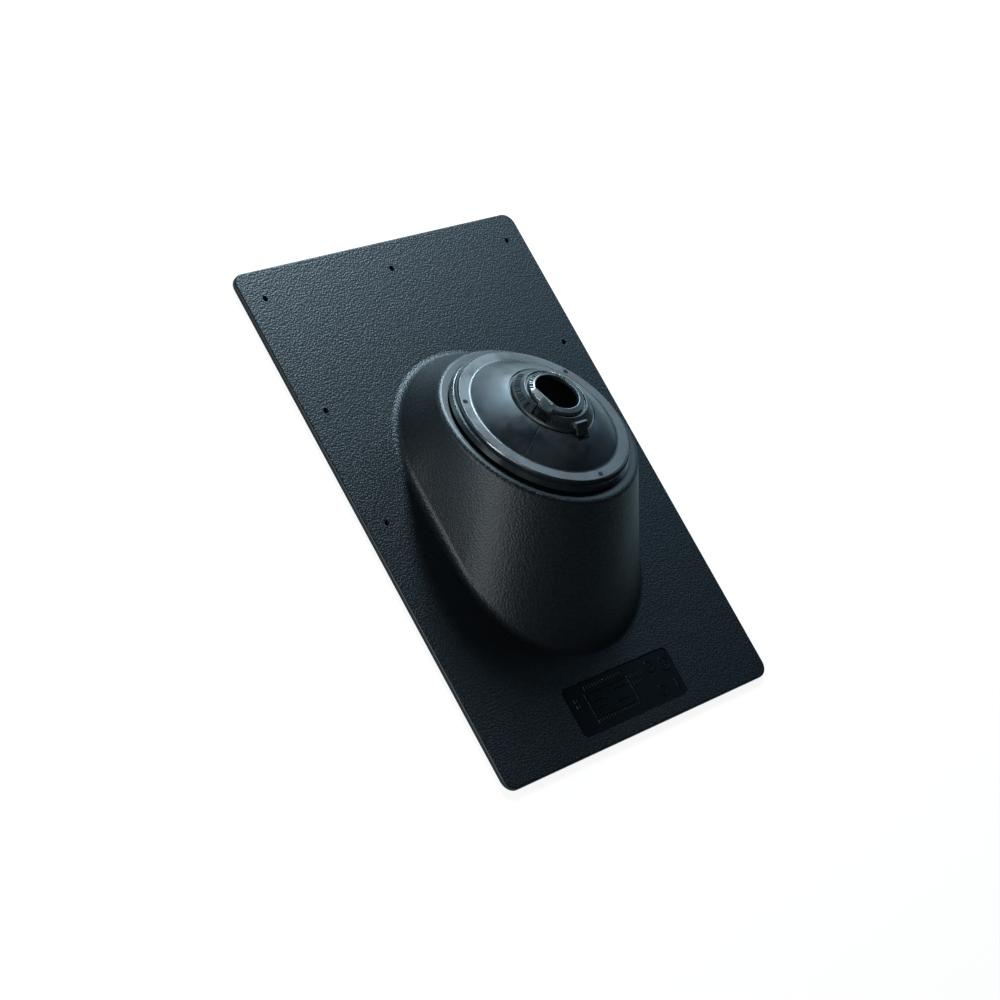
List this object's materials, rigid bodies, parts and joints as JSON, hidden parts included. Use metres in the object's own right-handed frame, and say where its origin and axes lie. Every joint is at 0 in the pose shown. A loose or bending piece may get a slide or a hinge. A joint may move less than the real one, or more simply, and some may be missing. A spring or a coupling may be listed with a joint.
{
  "type": "roof pipe flashing",
  "caption": "Roof flashing for a vent pipe: a thin flat base plate with a hollow sloping dome, nail holes, and a rubber collar with tear-out sizing rings.",
  "frame": {"origin": "on the underside of the plate, at the middle of its outline", "axes": "+Y points up the roof slope, +X runs across it, +Z points out of the roof, square to the plate"},
  "size_m": [0.235, 0.33, 0.0753],
  "materials": {
    "base_plastic": "moulded thermoplastic with a fine pebble grain, black",
    "collar_rubber": "smooth moulded rubber with a satin sheen, black"
  },
  "bodies": {
    "root": {"base_flashing": "base_plastic", "rubber_collar": "collar_rubber"}
  },
  "joints": []
}
